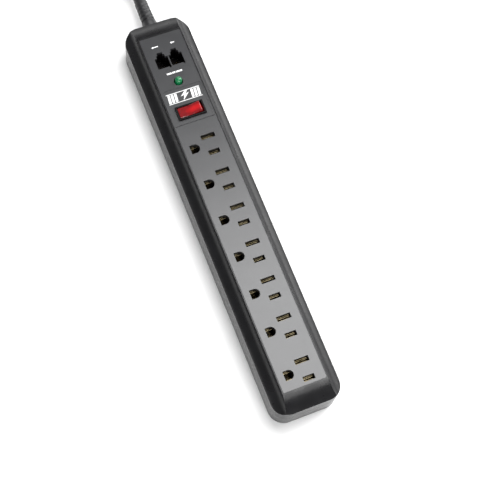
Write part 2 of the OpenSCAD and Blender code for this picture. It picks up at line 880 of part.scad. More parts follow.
bottom_case();
top_case();
face_plate();
contact_carrier();
insulator_sheet();
line_bus();
neutral_bus();
ground_bus();
switch_housing();
rocker();
rocker_plunger();
plunger_spring();
neon_lamp();
lamp_resistor();
contact_arm();
line_terminal();
load_terminal();
lamp_terminal();
circuit_board();
surge_varistors();
thermal_fuse();
choke_core();
choke_winding();
filter_capacitor();
status_light();
phone_jack_housing();
phone_contacts();
phone_suppressors();
supply_wire();
load_wire();
neutral_wire();
ground_wire();
case_screws();
carrier_screws();
board_screws();
strain_relief();
power_cord();
cord_hank();
hank_tie();
cord_tail();
plug_body();
plug_blades();
plug_ground_pin();
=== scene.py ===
import json
import math

import bmesh
import bpy
from mathutils import Matrix, Quaternion, Vector


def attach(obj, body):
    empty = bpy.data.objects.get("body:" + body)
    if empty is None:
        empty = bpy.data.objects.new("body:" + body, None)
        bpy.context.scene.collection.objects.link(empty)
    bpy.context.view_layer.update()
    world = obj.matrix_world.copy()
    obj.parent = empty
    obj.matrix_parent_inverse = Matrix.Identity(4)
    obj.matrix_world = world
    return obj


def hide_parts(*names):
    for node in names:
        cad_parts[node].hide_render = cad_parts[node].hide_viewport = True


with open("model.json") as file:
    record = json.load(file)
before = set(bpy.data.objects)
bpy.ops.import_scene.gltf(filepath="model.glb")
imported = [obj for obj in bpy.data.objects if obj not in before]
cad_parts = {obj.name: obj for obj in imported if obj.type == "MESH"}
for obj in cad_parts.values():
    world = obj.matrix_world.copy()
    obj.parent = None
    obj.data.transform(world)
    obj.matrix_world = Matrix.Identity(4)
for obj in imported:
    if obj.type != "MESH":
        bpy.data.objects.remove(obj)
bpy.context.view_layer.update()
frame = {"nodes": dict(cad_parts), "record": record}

# Shapes here are in millimetres, which MM turns into metres; the camera and the lights are in metres
MM = 0.001
NODES = frame["nodes"]
MOUNTS = {m["name"]: m for m in frame["record"]["mounts"]}
OUTLETS = [m["pos_m"] for name, m in MOUNTS.items() if name.startswith("outlet_")]
# From an outlet's blade line to its ground hole
GROUND_OFFSET = 11.9
# Height of the face plate's top, and how far its label recess is sunk
FACE_Z, LABEL_DEPTH = 35.0, 0.35


# ------------------------------------------------------------------ camera

def make_camera():
    """A slightly long lens above the near end, rolled so that the strip runs up to the left."""
    data = bpy.data.cameras.new("camera")
    data.lens = 85.1
    data.sensor_width = 36
    data.clip_start = 0.05
    place, target = Vector((-0.15157, -0.27230, 0.79723)), Vector((0.00069, -0.03844, 0.035))
    roll = math.radians(12.081)
    aim = (target - place).to_track_quat("-Z", "Y") @ Quaternion((0, 0, 1), roll)
    camera = bpy.data.objects.new("camera", data)
    camera.matrix_world = Matrix.LocRotScale(place, aim, None)
    bpy.context.scene.collection.objects.link(camera)
    bpy.context.scene.camera = camera


make_camera()


# ------------------------------------------------------------------ materials

def principled(name, **values):
    """A new material with a Principled shader, whose named sockets hold the given values."""
    material = bpy.data.materials.new(name)
    material.use_nodes = True
    shader = material.node_tree.nodes["Principled BSDF"]
    for socket, value in values.items():
        shader.inputs[socket.replace("_", " ")].default_value = value
    return material, shader


def node(material, kind, **settings):
    """A new shader node, whose named properties hold the given settings."""
    made = material.node_tree.nodes.new(kind)
    for name, value in settings.items():
        setattr(made, name, value)
    return made


def join(material, source, target):
    """Links an output of one node to an input of another."""
    material.node_tree.links.new(source, target)


def place_of(material):
    """The point on the object, in metres, as every pattern here reads it."""
    return node(material, "ShaderNodeTexCoord").outputs["Object"]


def noise(material, scale, detail=3.0, roughness=0.55, stretch=None):
    """Noise of about 1 / scale metres; stretch scales it along X, Y and Z."""
    texture = node(material, "ShaderNodeTexNoise")
    texture.inputs["Scale"].default_value = scale
    texture.inputs["Detail"].default_value = detail
    texture.inputs["Roughness"].default_value = roughness
    point = place_of(material)
    if stretch:
        mapping = node(material, "ShaderNodeMapping")
        mapping.inputs["Scale"].default_value = stretch
        join(material, point, mapping.inputs["Vector"])
        point = mapping.outputs["Vector"]
    join(material, point, texture.inputs["Vector"])
    return texture.outputs["Fac"]


def ramp(material, value, stops):
    """A colour ramp; stops are (position, colour) pairs."""
    made = node(material, "ShaderNodeValToRGB")
    elements = made.color_ramp.elements
    while len(elements) < len(stops):
        elements.new(0.5)
    for element, (position, colour) in zip(elements, stops):
        element.position = position
        element.color = (*colour, 1)
    join(material, value, made.inputs["Fac"])
    return made.outputs["Color"]


def spread(material, value, low, high):
    """Maps a noise value, which mostly lies between 0.3 and 0.7, to low and high."""
    made = node(material, "ShaderNodeMapRange")
    made.inputs["From Min"].default_value = 0.3
    made.inputs["From Max"].default_value = 0.7
    made.inputs["To Min"].default_value = low
    made.inputs["To Max"].default_value = high
    join(material, value, made.inputs["Value"])
    return made.outputs["Result"]


def bump(material, shader, heights):
    """Stacks bumps on a shader; heights are (value, strength, distance) triples."""
    previous = None
    for value, strength, distance in heights:
        made = node(material, "ShaderNodeBump")
        made.inputs["Strength"].default_value = strength
        made.inputs["Distance"].default_value = distance
        join(material, value, made.inputs["Height"])
        if previous:
            join(material, previous, made.inputs["Normal"])
        previous = made.outputs["Normal"]
    join(material, previous, shader.inputs["Normal"])


def moulded(name, dark, light, rough, grain=4200, depth=0.03, specular=0.5, uneven=1.0):
    """Moulded plastic: a fine spark-eroded grain, faint mottling and uneven gloss."""
    material, shader = principled(name, Specular_IOR_Level=specular)
    cloud = noise(material, 60, 4)
    fine = noise(material, grain, 2, 0.6)
    join(material, ramp(material, cloud, [(0.3, dark), (0.7, light)]), shader.inputs["Base Color"])
    join(material, spread(material, noise(material, 140, 3), rough - 0.04 * uneven, rough + 0.06 * uneven),
         shader.inputs["Roughness"])
    bump(material, shader, [(cloud, 0.15 * uneven, 0.1 * MM), (fine, 0.5, depth * MM)])
    return material


def metal(name, dark, light, rough, grain=(300, 2500, 300)):
    """Stamped or drawn metal with fine lines and patches of tarnish."""
    material, shader = principled(name, Metallic=1.0)
    lines = noise(material, 1, 3, 0.6, stretch=grain)
    tarnish = noise(material, 220, 4)
    join(material, ramp(material, tarnish, [(0.35, dark), (0.65, light)]), shader.inputs["Base Color"])
    join(material, spread(material, lines, rough - 0.05, rough + 0.1), shader.inputs["Roughness"])
    bump(material, shader, [(lines, 0.25, 0.02 * MM)])
    return material


def rocker_material():
    """Translucent red, lit from inside: brightest right of the middle, over the lamp, and falling to dark
    red at the ends and the long edges, which is painted shade.
    """
    material, shader = principled("rocker_red", Roughness=0.1, Specular_IOR_Level=0.65,
                                  Emission_Strength=0.5, Subsurface_Weight=0.15,
                                  Subsurface_Radius=(2.5 * MM, 0.6 * MM, 0.5 * MM), Subsurface_Scale=1.0)
    centre_x, centre_y, reach_x, reach_y = 3.45, 74.58, 11.5, 4.19
    mapping = node(material, "ShaderNodeMapping")
    mapping.inputs["Location"].default_value = (-centre_x / reach_x, -centre_y / reach_y, 0)
    mapping.inputs["Scale"].default_value = (1 / (reach_x * MM), 1 / (reach_y * MM), 0)
    join(material, place_of(material), mapping.inputs["Vector"])
    glow_and_painted_shade = node(material, "ShaderNodeTexGradient", gradient_type="SPHERICAL")
    join(material, mapping.outputs["Vector"], glow_and_painted_shade.inputs["Vector"])
    # The ramp runs from painted shade at the ends and edges up to the lamp's glow in the middle
    lit = ramp(material, glow_and_painted_shade.outputs["Fac"],
               [(0.0, (0.006, 0.0, 0.0)), (0.3, (0.12, 0.001, 0.002)), (0.8, (0.85, 0.006, 0.010))])
    join(material, lit, shader.inputs["Emission Color"])
    body = ramp(material, noise(material, 500, 2),
                [(0.3, (0.12, 0.002, 0.003)), (0.7, (0.17, 0.003, 0.005))])
    join(material, body, shader.inputs["Base Color"])
    bump(material, shader, [(noise(material, 900, 2), 0.12, 0.04 * MM)])
    return material


def light_material():
    """The green lens of the status light, faintly lit from below."""
    material, shader = principled("light_green", Roughness=0.16, Coat_Weight=0.3, Coat_Roughness=0.08,
                                  Emission_Strength=0.05, Transmission_Weight=0.15, IOR=1.5)
    lens = ramp(material, noise(material, 400, 2),
                [(0.3, (0.002, 0.12, 0.038)), (0.7, (0.004, 0.17, 0.055))])
    join(material, lens, shader.inputs["Base Color"])
    shader.inputs["Emission Color"].default_value = (0.0, 0.5, 0.16, 1)
    bump(material, shader, [(noise(material, 1200, 2), 0.08, 0.02 * MM)])
    return material


def fabric_material():
    """Hook-and-loop strap: a looped nap over a coarse weave."""
    material, shader = principled("tie_strap", Roughness=0.95, Sheen_Weight=0.35, Sheen_Roughness=0.5)
    nap = noise(material, 2600, 5, 0.75)
    weave = node(material, "ShaderNodeTexWave", wave_type="BANDS", bands_direction="DIAGONAL")
    weave.inputs["Scale"].default_value = 420
    weave.inputs["Distortion"].default_value = 3
    join(material, place_of(material), weave.inputs["Vector"])
    join(material, ramp(material, nap, [(0.3, (0.012, 0.012, 0.014)), (0.7, (0.05, 0.05, 0.055))]),
         shader.inputs["Base Color"])
    bump(material, shader, [(weave.outputs["Fac"], 0.4, 0.15 * MM), (nap, 0.9, 0.3 * MM)])
    return material


def board_material():
    """Green solder resist with darker tracks below it."""
    material, shader = principled("board", Roughness=0.35, Coat_Weight=0.3)
    tracks = node(material, "ShaderNodeTexBrick")
    tracks.inputs["Scale"].default_value = 160
    tracks.inputs["Mortar Size"].default_value = 0.03
    tracks.inputs["Color1"].default_value = (0.03, 0.16, 0.05, 1)
    tracks.inputs["Color2"].default_value = (0.04, 0.19, 0.06, 1)
    tracks.inputs["Mortar"].default_value = (0.02, 0.10, 0.03, 1)
    join(material, place_of(material), tracks.inputs["Vector"])
    join(material, tracks.outputs["Color"], shader.inputs["Base Color"])
    bump(material, shader, [(tracks.outputs["Fac"], 0.4, 0.05 * MM)])
    return material


def glass_material():
    """The neon lamp's glass, which glows orange."""
    material, shader = principled("lamp_glass", Roughness=0.05, Transmission_Weight=0.7,
                                  Emission_Strength=1.2)
    shader.inputs["Emission Color"].default_value = (1.0, 0.25, 0.08, 1)
    join(material, ramp(material, noise(material, 900, 2), [(0.3, (1, 0.5, 0.3)), (0.7, (1, 0.62, 0.42))]),
         shader.inputs["Base Color"])
    return material


def cord_material():
    """Vinyl jacket: satin and finely grained, with dull patches."""
    material, shader = principled("cord_vinyl", Specular_IOR_Level=0.5)
    cloud = noise(material, 90, 4)
    fine = noise(material, 2600, 3, 0.6)
    join(material, ramp(material, cloud, [(0.3, (0.010, 0.010, 0.011)), (0.7, (0.020, 0.020, 0.022))]),
         shader.inputs["Base Color"])
    join(material, spread(material, noise(material, 260, 3), 0.34, 0.46), shader.inputs["Roughness"])
    bump(material, shader, [(cloud, 0.2, 0.2 * MM), (fine, 0.35, 0.03 * MM)])
    return material


MATERIALS = {
    "casing": moulded("casing", (0.007, 0.007, 0.0075), (0.011, 0.011, 0.012), 0.27, grain=3600,
                      specular=0.45),
    # casing_top is a darker, less glossy copy of the casing plastic: painted shade that keeps the top
    # case's coves dark
    "casing_top": moulded("casing_top", (0.005, 0.005, 0.0055), (0.008, 0.008, 0.009), 0.29, grain=3600,
                          specular=0.26),
    "face": moulded("face", (0.022, 0.0225, 0.0245), (0.028, 0.0285, 0.0305), 0.28, grain=2400,
                    depth=0.006, uneven=0.12),
    "print_white": moulded("print_white", (0.72, 0.72, 0.72), (0.82, 0.82, 0.82), 0.45, depth=0.01),
    "carrier": moulded("carrier", (0.03, 0.029, 0.028), (0.05, 0.048, 0.045), 0.5),
    "fishpaper": moulded("fishpaper", (0.40, 0.26, 0.10), (0.50, 0.34, 0.15), 0.7, grain=1500),
    # brass is darker than bare brass: painted shade that keeps the contacts dim down in the slots
    "brass": metal("brass", (0.065, 0.053, 0.028), (0.15, 0.126, 0.078), 0.3),
    # switch_black's faint red tint is painted glow from the lit rocker on the bezel
    "switch_black": moulded("switch_black", (0.004, 0.003, 0.003), (0.006, 0.005, 0.005), 0.24, depth=0.01,
                            specular=0.12),
    "rocker_red": rocker_material(),
    "nylon": moulded("nylon", (0.70, 0.70, 0.66), (0.80, 0.80, 0.77), 0.5),
    "spring_steel": metal("spring_steel", (0.45, 0.46, 0.48), (0.62, 0.63, 0.65), 0.25),
    "lamp_glass": glass_material(),
    "resistor": moulded("resistor", (0.5, 0.38, 0.22), (0.62, 0.50, 0.33), 0.3),
    "copper": metal("copper", (0.50, 0.22, 0.10), (0.75, 0.40, 0.22), 0.25),
    "board": board_material(),
    "varistor": moulded("varistor", (0.03, 0.12, 0.36), (0.05, 0.17, 0.45), 0.3),
    "fuse": moulded("fuse", (0.60, 0.58, 0.50), (0.72, 0.70, 0.62), 0.6),
    "ferrite": moulded("ferrite", (0.05, 0.05, 0.047), (0.09, 0.09, 0.085), 0.6, grain=2200, depth=0.08),
    "capacitor": moulded("capacitor", (0.70, 0.42, 0.05), (0.80, 0.52, 0.08), 0.3),
    "light_green": light_material(),
    "gold_wire": metal("gold_wire", (0.70, 0.48, 0.16), (0.92, 0.72, 0.32), 0.2),
    "wire_black": moulded("wire_black", (0.012, 0.012, 0.012), (0.02, 0.02, 0.02), 0.35),
    "wire_white": moulded("wire_white", (0.70, 0.70, 0.70), (0.80, 0.80, 0.80), 0.35),
    "wire_green": moulded("wire_green", (0.03, 0.22, 0.06), (0.05, 0.28, 0.09), 0.35),
    "screw_steel": metal("screw_steel", (0.42, 0.43, 0.45), (0.58, 0.59, 0.61), 0.28),
    "cord_vinyl": cord_material(),
    "tie_strap": fabric_material(),
    "plated_brass": metal("plated_brass", (0.60, 0.61, 0.62), (0.75, 0.76, 0.77), 0.16),
}


# ------------------------------------------------------------------ shading

# Angles between faces: shaded smooth, rounded, marked for rounding, and flat enough to merge
SMOOTH_BELOW = math.radians(32)
BEVEL_ABOVE = math.radians(35)
MARK_ABOVE = math.radians(50)
FLAT_BELOW = math.radians(0.2)
WELD_WITHIN = 0.002 * MM


def modifier_group(name):
    """An empty geometry group for a modifier: its tree, its input's socket and its output's."""
    group = bpy.data.node_groups.new(name, "GeometryNodeTree")
    group.interface.new_socket("Geometry", in_out="INPUT", socket_type="NodeSocketGeometry")
    group.interface.new_socket("Geometry", in_out="OUTPUT", socket_type="NodeSocketGeometry")
    first, last = group.nodes.new("NodeGroupInput"), group.nodes.new("NodeGroupOutput")
    return group, first.outputs[0], last.inputs[0]


def smooth_by_angle():
    """A modifier group that smooths every edge flatter than SMOOTH_BELOW."""
    group, first, last = modifier_group("smooth_by_angle")
    nodes, links = group.nodes, group.links
    faces, edges = nodes.new("GeometryNodeSetShadeSmooth"), nodes.new("GeometryNodeSetShadeSmooth")
    edges.domain = "EDGE"
    angle, flat = nodes.new("GeometryNodeInputMeshEdgeAngle"), nodes.new("FunctionNodeCompare")
    flat.operation = "LESS_THAN"
    flat.inputs["B"].default_value = SMOOTH_BELOW
    links.new(angle.outputs["Unsigned Angle"], flat.inputs["A"])
    links.new(first, faces.inputs["Geometry"])
    links.new(faces.outputs["Geometry"], edges.inputs["Geometry"])
    links.new(flat.outputs["Result"], edges.inputs["Shade Smooth"])
    links.new(edges.outputs["Geometry"], last)
    return group


SMOOTH = smooth_by_angle()


def edges_above(name, height):
    """A modifier group that marks, for a bevel, the sharp edges above a height in metres."""
    group, first, last = modifier_group(name)
    nodes, links = group.nodes, group.links
    place, split = nodes.new("GeometryNodeInputPosition"), nodes.new("ShaderNodeSeparateXYZ")
    angle = nodes.new("GeometryNodeInputMeshEdgeAngle")
    high, sharp = nodes.new("FunctionNodeCompare"), nodes.new("FunctionNodeCompare")
    high.operation = sharp.operation = "GREATER_THAN"
    high.inputs["B"].default_value = height
    sharp.inputs["B"].default_value = MARK_ABOVE
    both = nodes.new("FunctionNodeBooleanMath")
    store = nodes.new("GeometryNodeStoreNamedAttribute")
    store.data_type, store.domain = "FLOAT", "EDGE"
    store.inputs["Name"].default_value = "bevel_weight_edge"
    links.new(place.outputs[0], split.inputs[0])
    links.new(split.outputs["Z"], high.inputs["A"])
    links.new(angle.outputs["Unsigned Angle"], sharp.inputs["A"])
    links.new(high.outputs[0], both.inputs[0])
    links.new(sharp.outputs[0], both.inputs[1])
    links.new(both.outputs[0], store.inputs["Value"])
    links.new(first, store.inputs["Geometry"])
    links.new(store.outputs["Geometry"], last)
    return group


def soften(piece):
    """Shades a piece smooth, apart from its sharp edges."""
    shade = piece.modifiers.new("shade", "NODES")
    shade.node_group = SMOOTH
    normals = piece.modifiers.new("normals", "WEIGHTED_NORMAL")
    normals.keep_sharp = True


def crisp(piece, bevel, segments=2, marks=None):
    """Cleans a mesh, rounds its sharp edges, or only those that marks picks, and smooths the rest."""
    weld = piece.modifiers.new("weld", "WELD")
    weld.merge_threshold = WELD_WITHIN
    flat = piece.modifiers.new("flat", "DECIMATE")
    flat.decimate_type = "DISSOLVE"
    flat.angle_limit = FLAT_BELOW
    if marks:
        piece.modifiers.new("marks", "NODES").node_group = marks
    if bevel:
        edge = piece.modifiers.new("edge", "BEVEL")
        edge.width = bevel * MM
        edge.segments = segments
        edge.limit_method = "WEIGHT" if marks else "ANGLE"
        edge.angle_limit = BEVEL_ABOVE
        edge.miter_outer = "MITER_ARC"
        edge.use_clamp_overlap = True
    soften(piece)


# ------------------------------------------------------------------ pieces

def add_piece(name, made, material, smooth=True):
    """A new piece of the strip from a bmesh, which takes the material's slot too."""
    mesh = bpy.data.meshes.new(name)
    bmesh.ops.recalc_face_normals(made, faces=made.faces[:])
    made.to_mesh(mesh)
    made.free()
    for face in mesh.polygons:
        face.use_smooth = smooth
    mesh.materials.append(MATERIALS[material])
    piece = bpy.data.objects.new(name, mesh)
    bpy.context.scene.collection.objects.link(piece)
    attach(piece, "strip")
    return piece


def add_rings(made, rings):
    """Adds a skin over rings of equally many points, with flat caps."""
    rows = [[made.verts.new(p) for p in ring] for ring in rings]
    count = len(rows[0])
    for low, high in zip(rows, rows[1:]):
        for k in range(count):
            made.faces.new((low[k], low[(k + 1) % count], high[(k + 1) % count], high[k]))
    made.faces.new(list(reversed(rows[0])))
    made.faces.new(rows[-1])


def grid_mesh(rings):
    """A new mesh of one skin over rings."""
    made = bmesh.new()
    add_rings(made, rings)
    return made


# ------------------------------------------------------------------ printed marks

# How far the ink reaches into the face, and how far it stands out of it
PRINT_ROOT, PRINT_T = 0.01, 0.04


def print_shape(made, outline, z):
    """Adds one printed patch, a thin prism of ink on the face."""
    add_rings(made, [[(x * MM, y * MM, (z + dz) * MM) for x, y in outline]
                     for dz in (-PRINT_ROOT, PRINT_T)])


def arrow(x, y, length):
    """A small arrow across the strip, which points left."""
    shaft, wing, head = 0.35, 1.0, 1.2
    tail, tip = x + length / 2, x - length / 2
    neck = tip + head
    return [(tail, y - shaft), (neck, y - shaft), (neck, y - wing), (tip, y), (neck, y + wing),
            (neck, y + shaft), (tail, y + shaft)]


def slab(x0, x1, y0, y1, slant=0.0):
    """A bar, whose far end leans to the right by the slant."""
    return [(x0, y0), (x1, y0), (x1 + slant, y1), (x0 + slant, y1)]


def make_marks():
    """Arrows beside the jacks, a bar over the light, and an emblem: a bolt between plain bars."""
    recess_z = FACE_Z - LABEL_DEPTH
    light_bars = ((-6.0, -2.4), (-1.9, 0.4), (0.9, 5.6))
    emblem_bars = ((-12.4, -10.6), (-9.9, -8.1), (-7.4, -5.6), (5.0, 6.8), (7.5, 9.3), (10.0, 11.8))
    emblem_rules, rule_w = (83.4, 91.2), 0.5
    bolt = [(-1.6, 84.2), (0.2, 88.0), (-2.6, 87.6), (1.4, 91.0), (3.2, 91.0), (1.4, 88.7), (4.0, 89.1)]
    made = bmesh.new()
    print_shape(made, arrow(-6.7, 130.9, 5.0), FACE_Z)
    print_shape(made, arrow(6.7, 130.7, 3.2), FACE_Z)
    for x0, x1 in light_bars:
        print_shape(made, slab(x0, x1, 106.5, 107.8), FACE_Z)
    for x0, x1 in emblem_bars:
        print_shape(made, slab(x0, x1, 84.4, 90.8, 0.6), recess_z)
    for y in emblem_rules:
        print_shape(made, slab(-12.7, 12.5, y, y + rule_w), recess_z)
    print_shape(made, bolt, recess_z)
    add_piece("printed_marks", made, "print_white", smooth=False)


make_marks()


# ------------------------------------------------------------------ contacts

def make_ground_tongues():
    """A curved spring tongue in each ground socket, which presses the pin from the left."""
    top, drop, steps = 31.9, 8.5, 12
    root_half, tip_half, thick, tilt = 1.5, 1.2, 0.35, 0.1
    back, bulge, bend = 3.0, 1.5, 1.15
    for number, mount in enumerate(OUTLETS, 1):
        x, y = mount[0] / MM - GROUND_OFFSET, mount[1] / MM
        rings = []
        for k in range(steps + 1):
            t = k / steps
            right = x - back + bulge * math.sin(math.pi * min(1.0, t * bend)) ** 1.5
            left, z = right - thick, top - drop * t
            half = root_half + (tip_half - root_half) * t
            corners = [(right, y - half, z), (right, y + half, z),
                       (left, y + half, z - tilt), (left, y - half, z - tilt)]
            rings.append([Vector(p) * MM for p in corners])
        add_piece("ground_tongue_%d" % number, grid_mesh(rings), "brass")


def make_phone_contacts():
    """Four spring wires in each jack, which slope down and across until a plug lifts them."""
    wires, wire_r, pitch, squash = 4, 0.24, 1.27, 0.8
    # Along the strip from the jack's middle, and height
    path = [(-4.1, 32.2), (-3.7, 31.6), (-2.2, 29.8), (-0.4, 27.6), (1.0, 25.9), (1.7, 25.0)]
    circle = [2 * math.pi * k / 8 for k in range(8)]
    made = bmesh.new()
    for name in ("phone_jack_out", "phone_jack_in"):
        jack_x, jack_y = (v / MM for v in MOUNTS[name]["pos_m"][:2])
        for i in range(wires):
            x = jack_x + (i - (wires - 1) / 2) * pitch
            add_rings(made, [[Vector((x + wire_r * math.cos(a), jack_y + y + wire_r * math.sin(a) * squash,
                                      z + wire_r * math.sin(a))) * MM for a in circle]
                             for y, z in path])
    contacts = add_piece("phone_contact_wires", made, "gold_wire")
    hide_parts("phone_contacts")


make_ground_tongues()
make_phone_contacts()


# ------------------------------------------------------------------ cord

CORD_D = 9 * MM
# The hank: its middle, the loops' distance from it, and the loops' and waist's half widths
HANK_X, HANK_Y = 17.0, 301.0
LOOP_DY = 48.0
OUTER_R, INNER_R = 36.8, 27.5
OUTER_WAIST, INNER_WAIST = 17.6, 8.3
# Heights of the cord's middle in its three layers
LAYERS = (5.5, 14.9, 24.3)
# Shares of a turn at which its five stretches begin and end
BREAKS = (0.0, 0.07, 0.21, 0.57, 0.71, 1.0)
TURNS, POINTS_A_TURN = 4, 60
# Share of the last turn at which it starts to climb, just past the strap
LAST_RISE = 0.665

# The stretch from the casing to the hank, and the one from the hank to the plug
CORD_ROUTE = [
    (0, 155, 16), (0, 163, 16), (0, 171, 16),
    (0, 179.5, 16), (0, 186, 16), (-0.6, 193, 14.9), (-2.1, 200, 12.8), (-4.4, 207, 10.4),
    (-7.2, 214, 8), (-10.3, 221, 6.2), (-13.4, 228, 5.5), (-16.1, 235, 5.5), (-18.2, 242, 5.5),
    (-19.5, 248, 5.5),
]
TAIL_ROUTE = [
    (-11.8, 261, 24.6), (-9, 268, 25.4), (-5, 275, 26.4), (-0.5, 282, 27.7), (4.2, 289, 29.1),
    (9, 296, 30.5), (13, 303, 31.7), (15.9, 309, 32.4), (17, 314, 32.6), (17, 318, 32.6),
]


def waist_arc(radius, waist):
    """Radius of the arcs that lead from a loop in to the waist, and half the angle they turn."""
    arc = (LOOP_DY ** 2 + waist ** 2 - radius ** 2) / (2 * (radius - waist))
    return arc, math.atan2(LOOP_DY, waist + arc)


def on_turn(share, radius, waist):
    """A point on one closed turn, which starts at the left of the near loop and runs clockwise."""
    arc, lean = waist_arc(radius, waist)
    stretches = (
        ((0, -LOOP_DY), radius, math.pi, math.pi - lean),
        ((-waist - arc, 0), arc, -lean, lean),
        ((0, LOOP_DY), radius, math.pi + lean, -lean),
        ((waist + arc, 0), arc, math.pi - lean, math.pi + lean),
        ((0, -LOOP_DY), radius, lean, -math.pi),
    )
    i = max(k for k in range(5) if k == 0 or share > BREAKS[k])
    (cx, cy), r, first, last = stretches[i]
    angle = first + (share - BREAKS[i]) / (BREAKS[i + 1] - BREAKS[i]) * (last - first)
    return Vector((HANK_X + cx + r * math.cos(angle), HANK_Y + cy + r * math.sin(angle)))


def near_loop(degrees):
    """The share of a turn at which it passes an angle of the near loop, on its way back."""
    lean = math.degrees(waist_arc(OUTER_R, OUTER_WAIST)[1])
    return BREAKS[4] + (1 - BREAKS[4]) * (lean - degrees) / (lean + 180)


def ease(share, window):
    """Goes smoothly from 0 to 1 as the share passes through the window."""
    x = min(1.0, max(0.0, (share - window[0]) / (window[1] - window[0])))
    return x * x * (3 - 2 * x)


def column_and_height(turn, share):
    """How far out a turn lies, from 0 to 1, and how high: each moves over just before the next."""
    if turn == 0:
        return 1 - ease(share, (near_loop(-60), near_loop(-150))), LAYERS[0]
    if turn == 1:
        return 0, LAYERS[0] + (LAYERS[1] - LAYERS[0]) * ease(share, (near_loop(-5), near_loop(-100)))
    if turn == 2:
        return ease(share, (near_loop(35), near_loop(-50))), LAYERS[1]
    rise = ease(share, (LAST_RISE, near_loop(-25)))
    return 1 - 0.7 * ease(share, (near_loop(-70), 1.0)), LAYERS[1] + (LAYERS[2] - LAYERS[1]) * rise


def hank_turns():
    """The points of all the turns, in order."""
    points = []
    for i in range(TURNS * POINTS_A_TURN + 1):
        turn = min(TURNS - 1, i // POINTS_A_TURN)
        share = i / POINTS_A_TURN - turn
        column, height = column_and_height(turn, share)
        place = on_turn(share, INNER_R, INNER_WAIST).lerp(on_turn(share, OUTER_R, OUTER_WAIST), column)
        points.append((place.x, place.y, height))
    return points


def smooth_line(points, parts):
    """A Catmull-Rom curve through the points."""
    points = [Vector(p) for p in points]
    line = []
    for i in range(len(points) - 1):
        a, b, c, d = (points[min(max(k, 0), len(points) - 1)] for k in range(i - 1, i + 3))
        for k in range(parts):
            t = k / parts
            line.append(0.5 * (2 * b + (c - a) * t + (2 * a - 5 * b + 4 * c - d) * t ** 2
                               + (3 * b - a - 3 * c + d) * t ** 3))
    return line + [points[-1]]


def make_cord():
    """One round jacket from the casing to the plug."""
    route = CORD_ROUTE + hank_turns() + TAIL_ROUTE
    line = smooth_line([Vector(p) * MM for p in route], 3)
    data = bpy.data.curves.new("power_cord_jacket", "CURVE")
    data.dimensions = "3D"
    data.bevel_depth = CORD_D / 2
    data.bevel_resolution = 8
    data.use_fill_caps = True
    spline = data.splines.new("POLY")
    spline.points.add(len(line) - 1)
    for point, place in zip(spline.points, line):
        point.co = (*place, 1)
    spline.use_smooth = True
    made = bpy.data.objects.new("power_cord_jacket", data)
    bpy.context.scene.collection.objects.link(made)
    data.materials.append(MATERIALS["cord_vinyl"])
    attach(made, "strip")
    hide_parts("power_cord", "cord_hank", "cord_tail")
    return made


TIE_T, TIE_HALF_W = 0.8, 7.0


def strap_path():
    """Once around the waist of the hank and a bit more, from the left of the top, as (x, z, out)."""
    half, low, high, corner, lap = 22.2, 0.1 + TIE_T, 19.5, 5.0, 9.0
    steps, gap = 12, 0.08
    path = [(-lap + k * (half - corner + lap) / steps, high, (0, 1)) for k in range(steps)]
    for cx, cz, first in ((1, 1, 90), (1, -1, 0), (-1, -1, -90), (-1, 1, -180)):
        middle_x, middle_z = cx * (half - corner), (high - corner) if cz > 0 else (low + corner)
        for k in range(steps + 1):
            a = math.radians(first - 90 * k / steps)
            path.append((middle_x + corner * math.cos(a), middle_z + corner * math.sin(a),
                         (math.cos(a), math.sin(a))))
    lap_steps = steps + 2
    for k in range(1, lap_steps + 1):
        lift = ease(k / lap_steps, (0.05, 0.3)) * (TIE_T + gap)
        path.append((corner - half + k * (half - corner + lap) / lap_steps, high + lift, (0, 1)))
    return path


def make_hank_tie():
    """A hook-and-loop strap around the waist, whose end laps over its start on top."""
    edge = 0.2
    section = [(-TIE_HALF_W, edge), (-TIE_HALF_W + edge, 0), (TIE_HALF_W - edge, 0), (TIE_HALF_W, edge),
               (TIE_HALF_W, TIE_T - edge), (TIE_HALF_W - edge, TIE_T), (edge - TIE_HALF_W, TIE_T),
               (-TIE_HALF_W, TIE_T - edge)]
    rings = []
    for x, z, (ox, oz) in strap_path():
        rings.append([Vector((HANK_X + x + out * ox, HANK_Y + along, z + out * oz)) * MM
                      for along, out in section])
    tie = add_piece("hank_tie_strap", grid_mesh(rings), "tie_strap")
    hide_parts("hank_tie")
    soften(tie)
    return tie


RING_POINTS = 64


def superellipse(half_w, half_h, power):
    """A ring between an ellipse, at power 2, and a rectangle, at high powers."""
    ring = []
    for k in range(RING_POINTS):
        a = 2 * math.pi * k / RING_POINTS
        c, d = math.cos(a), math.sin(a)
        ring.append((math.copysign(abs(c) ** (2 / power), c) * half_w,
                     math.copysign(abs(d) ** (2 / power), d) * half_h))
    return ring


PLUG_X, PLUG_Z = 17.0, 32.6
GRIP_FROM, GRIP_TO, RIB_PITCH, RIB_DEPTH = 344.0, 357.0, 2.6, 0.45
SECTION_STEP = 0.5
# Sections of the plug from its cord end: place along Y, half width, half height, squareness
PLUG_SECTIONS = [
    (334.0, 7.4, 7.2, 2.2), (336.0, 9.0, 8.0, 2.5), (339.0, 10.6, 8.8, 3.0), (343.0, 11.6, 9.4, 3.4),
    (347.0, 11.7, 9.6, 3.5), (356.0, 11.7, 10.0, 3.6), (359.0, 12.1, 10.6, 3.8),
    (361.2, 12.9, 12.2, 4.0), (362.0, 13.2, 12.7, 4.2), (369.2, 13.3, 12.8, 4.3),
    (369.8, 13.1, 12.6, 4.3), (370.0, 12.8, 12.3, 4.3),
]


